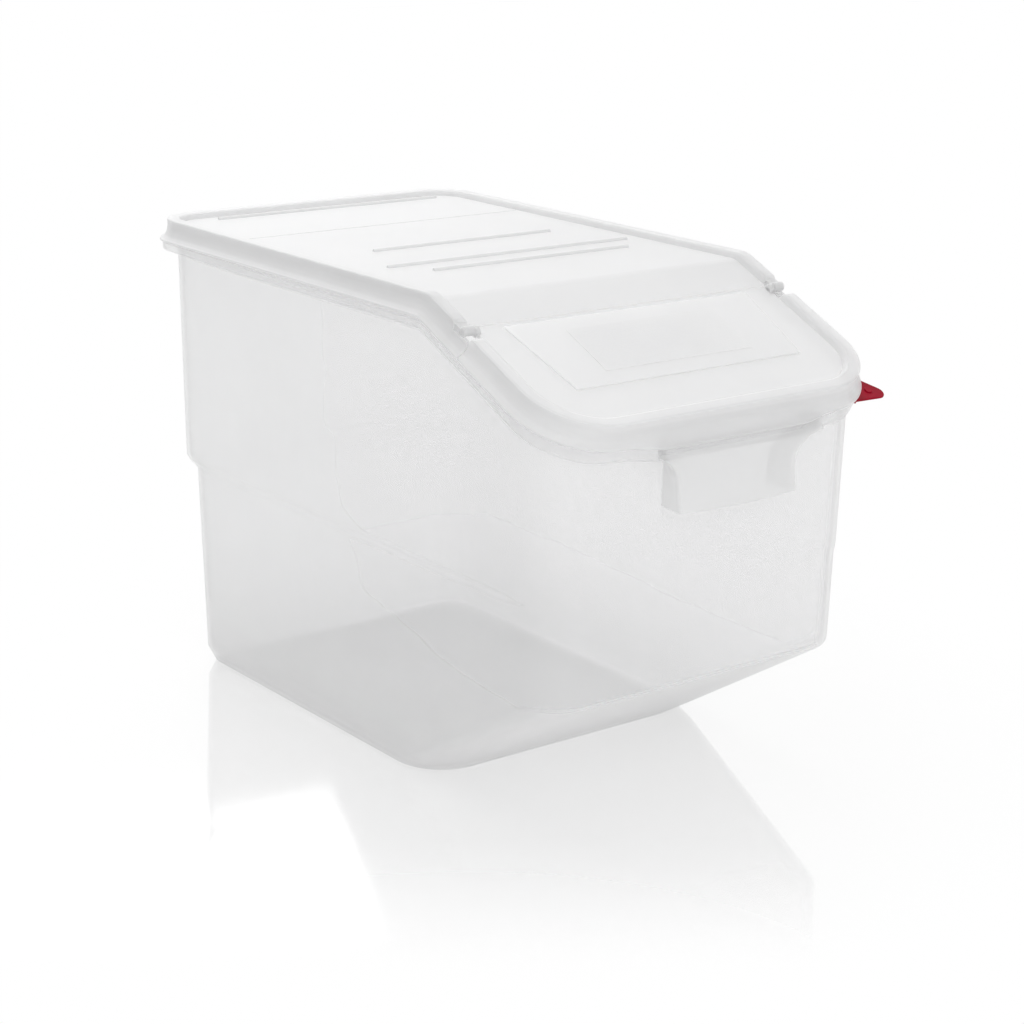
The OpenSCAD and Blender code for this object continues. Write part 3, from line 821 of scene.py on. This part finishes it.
def build_clip(verts, faces):
    """The clip: a channel round the flange's corner and a flat tab with a small round boss."""
    section = softened(CLIP_SECTION, CLIP_SOFT)
    channel = []
    for k in range(CLIP_STEPS + 1):
        a = CLIP_HALF / CLIP_EDGE * (2 * k / CLIP_STEPS - 1)
        channel.append([clip_place(r * math.cos(a), r * math.sin(a), n) for r, n in section])
    stacked(verts, faces, channel)
    low, top = CLIP_LOW, TAB_TOP
    levels = ((TAB_BEVEL, low), (0.0, low + TAB_BEVEL), (0.0, top - TAB_BEVEL), (TAB_BEVEL, top))
    stacked(verts, faces, [tab_ring(inset, n) for inset, n in levels])
    crown = top + BOSS_H
    levels = ((BOSS_R, top - BOSS_EDGE), (BOSS_R, crown - BOSS_EDGE), (BOSS_R - BOSS_EDGE, crown))
    stacked(verts, faces, [boss_ring(r, n) for r, n in levels])


# Finishes

class Sock:
    """A node's socket that takes part in Python arithmetic."""

    def __init__(self, nodes, socket):
        self.nodes, self.socket = nodes, socket

    def _math(self, op, a, b=None):
        values = {0: a}
        if b is not None:
            values[1] = b
        return self.nodes.node("ShaderNodeMath", {"operation": op}, values)

    def __add__(self, o):
        return self._math("ADD", self, o)

    __radd__ = __add__

    def __mul__(self, o):
        return self._math("MULTIPLY", self, o)

    __rmul__ = __mul__

    def __sub__(self, o):
        return self._math("SUBTRACT", self, o)

    def __rsub__(self, o):
        return self._math("SUBTRACT", o, self)

    def __truediv__(self, o):
        return self._math("DIVIDE", self, o)

    def between(self, low, high):
        """A smooth step from 0 at low to 1 at high."""
        return self.nodes.node("ShaderNodeMapRange", {"interpolation_type": "SMOOTHSTEP"},
                               {"Value": self, "From Min": low, "From Max": high}, "Result")


class Nodes:
    """A node tree whose nodes are written as expressions."""

    def __init__(self, tree):
        self.tree = tree
        self.tree.nodes.clear()

    def node(self, kind, settings=None, values=None, out=0):
        made = self.tree.nodes.new(kind)
        for key, value in (settings or {}).items():
            setattr(made, key, value)
        for key, value in (values or {}).items():
            socket = made.inputs[key]
            if isinstance(value, Sock):
                self.tree.links.new(value.socket, socket)
            else:
                socket.default_value = value
        return Sock(self, made.outputs[out])

    def place(self):
        return self.node("ShaderNodeTexCoord", out="Object")

    def noise(self, scale, detail=3.0, roughness=0.5):
        return self.node("ShaderNodeTexNoise", {}, {
            "Vector": self.place(), "Scale": scale, "Detail": detail, "Roughness": roughness}, "Fac")

    def blend(self, fac, a, b):
        return self.node("ShaderNodeMix", {"data_type": "RGBA"}, {0: fac, 6: a, 7: b}, 2)

    def mixed(self, fac, a, b):
        return self.node("ShaderNodeMixShader", {}, {0: fac, 1: a, 2: b})

    def bump(self, height, strength, distance):
        return self.node("ShaderNodeBump", {}, {
            "Height": height, "Strength": strength, "Distance": distance})


class Finish(Nodes):
    """A material written as expressions."""

    def __init__(self, name):
        self.material = bpy.data.materials.new(name)
        self.material.use_nodes = True
        super().__init__(self.material.node_tree)
        self.output = self.tree.nodes.new("ShaderNodeOutputMaterial")

    def done(self, shader):
        self.tree.links.new(shader.socket, self.output.inputs["Surface"])
        return self.material


CLOUD = (7.0, 3.0, 0.55)
GRAIN = (900.0, 2.0, 0.5)
CLOUD_SHARE = 0.03
FOOT_TOP = 0.13
FOOT_PULL = 2
# Painted shade: the colour that the walls darken to towards the floor
FOOT_SHADE_COLOUR = (0.84, 0.84, 0.841, 1)
FLOOR_CLEAR = 0.6
FLOOR_EDGE = 0.012
TURN_FROM, TURN_FULL = 0.35, 0.95
GLOW_SHARE = 0.4
CLEAR_COLOUR = (0.987, 0.987, 0.988, 1)


def frosted(name, light, dark, clear, edge_clear, rough, foot_clear=None):
    """Frosted plastic: a milky body that one sees through face on, and hardly at all at a glancing angle.

    With foot_clear the walls turn milkier and darker from FOOT_TOP down, painted shade towards the floor,
    and the bin's own floor has one clearness at every angle.
    """
    f = Finish(name)
    cloud = f.noise(*CLOUD)
    grain = f.noise(*GRAIN)
    colour = f.blend(cloud.between(0.3, 0.7), light, dark)
    turned = f.node("ShaderNodeLayerWeight", {}, {"Blend": 0.5}, "Facing").between(TURN_FROM, TURN_FULL)
    if foot_clear is not None:
        height = f.node("ShaderNodeSeparateXYZ", {}, {0: f.place()}, "Z")
        # Painted shade: from FOOT_TOP down the walls turn darker and milkier
        foot = 1 - height.between(-FOOT_TOP, FOOT_TOP)
        colour = f.blend(foot, colour, FOOT_SHADE_COLOUR)
        clear = clear - foot * (clear - foot_clear) * FOOT_PULL
    see_through = clear - turned * (clear - edge_clear) + cloud * CLOUD_SHARE
    if foot_clear is not None:
        floor_part = 1 - height.between(0.0, FLOOR_EDGE)
        see_through = see_through + floor_part * (FLOOR_CLEAR - see_through)
    body = f.node("ShaderNodeBsdfPrincipled", {}, {
        "Base Color": colour, "Roughness": rough + grain * 0.1 + cloud * 0.05, "Specular IOR Level": 0.4,
        "Normal": f.bump(grain, 0.05, 0.0003)}, "BSDF")
    glow = f.node("ShaderNodeBsdfTranslucent", {}, {"Color": light}, "BSDF")
    empty = f.node("ShaderNodeBsdfTransparent", {}, {"Color": CLEAR_COLOUR}, "BSDF")
    return f.done(f.mixed(see_through, f.mixed(GLOW_SHARE, body, glow), empty))


FILM_CLEAR = 0.12


def film():
    """The bare label: a thin matt white film that hardly stands out from its panel."""
    f = Finish("label_film_bare")
    grain = f.noise(600.0)
    colour = f.blend(f.noise(14.0).between(0.35, 0.65), (0.97, 0.97, 0.97, 1), (0.94, 0.94, 0.945, 1))
    body = f.node("ShaderNodeBsdfPrincipled", {}, {
        "Base Color": colour, "Roughness": 0.4 + grain * 0.1, "Normal": f.bump(grain, 0.04, 0.0002)}, "BSDF")
    glow = f.node("ShaderNodeBsdfTranslucent", {}, {"Color": (0.97, 0.97, 0.97, 1)}, "BSDF")
    empty = f.node("ShaderNodeBsdfTransparent", {}, {"Color": (1, 1, 1, 1)}, "BSDF")
    return f.done(f.mixed(FILM_CLEAR + grain * 0.04, f.mixed(0.5, body, glow), empty))


def clip_red():
    """The clip's red plastic, with hardly any shine."""
    f = Finish("clip_red_plastic")
    grain = f.noise(700.0)
    colour = f.blend(f.noise(60.0).between(0.3, 0.7), (0.34, 0.003, 0.02, 1), (0.27, 0.002, 0.014, 1))
    return f.done(f.node("ShaderNodeBsdfPrincipled", {}, {
        "Base Color": colour, "Roughness": 0.36 + grain * 0.08, "Specular IOR Level": 0.08,
        "Normal": f.bump(grain, 0.05, 0.0003)}, "BSDF"))


def give(obj, material):
    obj.data.materials.clear()
    obj.data.materials.append(material)


# Each frosted finish: two shades, how clear face on, how clear at a glancing angle, roughness
TUB_FINISH = frosted(
    "tub_frosted", (0.95, 0.95, 0.951, 1), (0.92, 0.92, 0.921, 1), 0.78, 0.34, 0.4, foot_clear=0.5)
LID_FINISH = frosted("lid_frosted", (0.9, 0.9, 0.902, 1), (0.88, 0.88, 0.882, 1), 0.42, 0.1, 0.42)
FLAP_FINISH = frosted("flap_frosted", (0.93, 0.93, 0.932, 1), (0.91, 0.91, 0.912, 1), 0.5, 0.15, 0.4)
# The label panel gets a lighter, less clear copy of the flap's plastic: painted light that keeps it as
# bright as the flap
PAD_LIT_FINISH = frosted("label_panel_painted_light_frosted", (0.97, 0.97, 0.971, 1), (0.95, 0.95, 0.951, 1), 0.12, 0.1, 0.4)
HOOD_FINISH = frosted("hood_frosted", (0.95, 0.95, 0.951, 1), (0.92, 0.92, 0.921, 1), 0.6, 0.25, 0.4)
KNUCKLE_FINISH = frosted("knuckle_frosted", (0.9, 0.9, 0.902, 1), (0.88, 0.88, 0.882, 1), 0.3, 0.15, 0.42)
# The ribs and the field line get a darker, less clear copy of the lid's plastic: painted shade
RIB_SHADED_FINISH = frosted("rib_painted_shade_frosted", (0.86, 0.86, 0.862, 1), (0.83, 0.83, 0.832, 1), 0.28, 0.2, 0.42)
FILM = film()
RED = clip_red()

# Pieces

BARS = bar_tree(RIB_SHADED_FINISH)
pieces = [
    (tub_mesh(), "tub", "tub", "tub_plastic", TUB_FINISH),
    (hood_mesh(), "tub", "tub", "tub_plastic", HOOD_FINISH),
    (rear_lid_mesh(), "lid", "rear_lid", "lid_plastic", LID_FINISH),
    (seal_mesh("rear_lid_seal", down_slope(REAR_RIM_S), False), "lid", "rear_lid", "lid_plastic",
     LID_FINISH),
    (loose_part("rear_lid_skirt_ends", build_skirt_tails), "lid", "rear_lid", "lid_plastic", LID_FINISH),
    (loose_part("rear_lid_lugs", build_lugs), "lid", "rear_lid", "lid_plastic", KNUCKLE_FINISH),
    (bars_along("rear_lid_ribs", rib_runs(), RIB_R, BARS), "lid", "rear_lid", "lid_plastic", RIB_SHADED_FINISH),
    (bars_along("rear_lid_field_line", FIELD_RUNS, FIELD_LINE_R, BARS), "lid", "rear_lid", "lid_plastic",
     RIB_SHADED_FINISH),
    (flap_mesh(), "flap", "flip_flap", "flap_plastic", FLAP_FINISH),
    (seal_mesh("flip_flap_seal", down_slope(SEAM_S + GAP), True), "flap", "flip_flap", "flap_plastic",
     FLAP_FINISH),
    (loose_part("flip_flap_ears", build_ears), "flap", "flip_flap", "flap_plastic", KNUCKLE_FINISH),
    (loose_part("flip_flap_label_panel", build_pad), "flap", "flip_flap", "flap_plastic", PAD_LIT_FINISH),
    (loose_part("colour_clip_moulding", build_clip), "clip", "colour_clip", "clip_plastic", RED),
]
for obj, body, node, slot, finish in pieces:
    give(obj, finish)
    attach(obj, body)
    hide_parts(node)

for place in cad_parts["write_on_label"].material_slots:
    place.material = FILM

# Stage, light and camera


FLOOR_BASE = (0.85, 0.85, 0.85, 1)
SHADOW_FADE_NEAR, SHADOW_FADE_FAR = 0.2, 0.5
MIRROR_FADE_NEAR, MIRROR_FADE_FAR = 0.24, 0.44
FLOOR_SHADOW = 0.28
FLOOR_MIRROR = 0.45
MIRROR_ROUGH = 0.06
TO_CAMERA = (-0.609, -0.793, 0.0)


def floor_finish():
    """White to the camera, with a soft shadow near the bin and a faint mirror image that fades in front."""
    f = Finish("floor_white")
    away = f.node("ShaderNodeVectorMath", {"operation": "LENGTH"}, {0: f.place()}, "Value")
    near = 1 - away.between(SHADOW_FADE_NEAR, SHADOW_FADE_FAR)
    ahead = f.node("ShaderNodeVectorMath", {"operation": "DOT_PRODUCT"}, {
        0: f.place(), 1: TO_CAMERA}, "Value")
    mirrored = 1 - ahead.between(MIRROR_FADE_NEAR, MIRROR_FADE_FAR)
    base = f.node("ShaderNodeBsdfPrincipled", {}, {
        "Base Color": FLOOR_BASE, "Roughness": 0.5 + f.noise(4.0) * 0.05}, "BSDF")
    white = f.node("ShaderNodeEmission", {}, {"Color": (1, 1, 1, 1), "Strength": 1.0}, "Emission")
    mirror = f.node("ShaderNodeBsdfAnisotropic", {}, {
        "Color": (1, 1, 1, 1), "Roughness": MIRROR_ROUGH}, "BSDF")
    seen = f.node("ShaderNodeLightPath", out="Is Camera Ray")
    shade = f.mixed(near * FLOOR_SHADOW, white, base)
    return f.done(f.mixed(seen, base, f.mixed(mirrored * FLOOR_MIRROR, shade, mirror)))


bpy.ops.mesh.primitive_plane_add(size=12.0, location=(0, 0, 0))
floor = bpy.context.object
floor.name = "floor"
give(floor, floor_finish())

HORIZON_LIGHT = 0.22
ZENITH_LIGHT = 1.15
ZENITH_FROM = 0.9


def studio_world():
    """White where it is seen or mirrored; as light, soft from above and weaker from the sides."""
    made = bpy.data.worlds.new("studio")
    made.use_nodes = True
    w = Nodes(made.node_tree)
    output = w.tree.nodes.new("ShaderNodeOutputWorld")
    up = w.node("ShaderNodeSeparateXYZ", {}, {0: w.node("ShaderNodeTexCoord", out="Generated")}, "Z")
    level = HORIZON_LIGHT + (ZENITH_LIGHT - HORIZON_LIGHT) * up.between(0.0, ZENITH_FROM)
    lit = w.node("ShaderNodeBackground", {}, {"Strength": level}, "Background")
    white = w.node("ShaderNodeBackground", {}, {"Color": (1, 1, 1, 1), "Strength": 1.0}, "Background")
    seen = w.node("ShaderNodeLightPath", out="Is Camera Ray")
    for ray in ("Is Glossy Ray", "Is Transmission Ray"):
        seen = seen + w.node("ShaderNodeLightPath", out=ray)
    w.tree.links.new(w.mixed(seen, lit, white).socket, output.inputs["Surface"])
    return made


bpy.context.scene.world = studio_world()


def softbox(name, place, target, size, power):
    """A rectangular area light that looks at the target."""
    lamp = bpy.data.lights.new(name, "AREA")
    lamp.shape = "RECTANGLE"
    lamp.size, lamp.size_y = size
    lamp.energy = power
    obj = bpy.data.objects.new(name, lamp)
    bpy.context.scene.collection.objects.link(obj)
    obj.location = place
    obj.rotation_euler = (Vector(target) - Vector(place)).to_track_quat("-Z", "Y").to_euler()


softbox("top_light", (0.1, 1.3, 1.6), (0, 0, 0.25), (1.8, 1.8), 19.0)
softbox("front_light", (-0.5, -2.0, 1.3), (0, 0, 0.15), (1.2, 1.2), 14.0)

# The camera as fitted to the photograph: focal length and optical middle in the frame's pixels
FRAME_PX = 1024
FOCAL_PX = 2343.7
MIDDLE_PX = (524.6, 480.7)
EYE = Vector((-1.024, -1.3704, 0.6609))
FORWARD = Vector((0.5863, 0.7638, -0.2700)).normalized()
RIGHT = Vector((0.7955, -0.6058, 0.0136)).normalized()
UP = RIGHT.cross(FORWARD).normalized()
camera_data = bpy.data.cameras.new("camera")
camera_data.sensor_width = 36.0
camera_data.lens = FOCAL_PX / FRAME_PX * camera_data.sensor_width
camera_data.shift_x = -(MIDDLE_PX[0] - FRAME_PX / 2) / FRAME_PX
camera_data.shift_y = (MIDDLE_PX[1] - FRAME_PX / 2) / FRAME_PX
camera = bpy.data.objects.new("camera", camera_data)
camera.matrix_world = Matrix((
    (RIGHT.x, UP.x, -FORWARD.x, EYE.x), (RIGHT.y, UP.y, -FORWARD.y, EYE.y),
    (RIGHT.z, UP.z, -FORWARD.z, EYE.z), (0, 0, 0, 1)))
bpy.context.scene.collection.objects.link(camera)
bpy.context.scene.camera = camera

bpy.context.scene.view_settings.view_transform = "Standard"
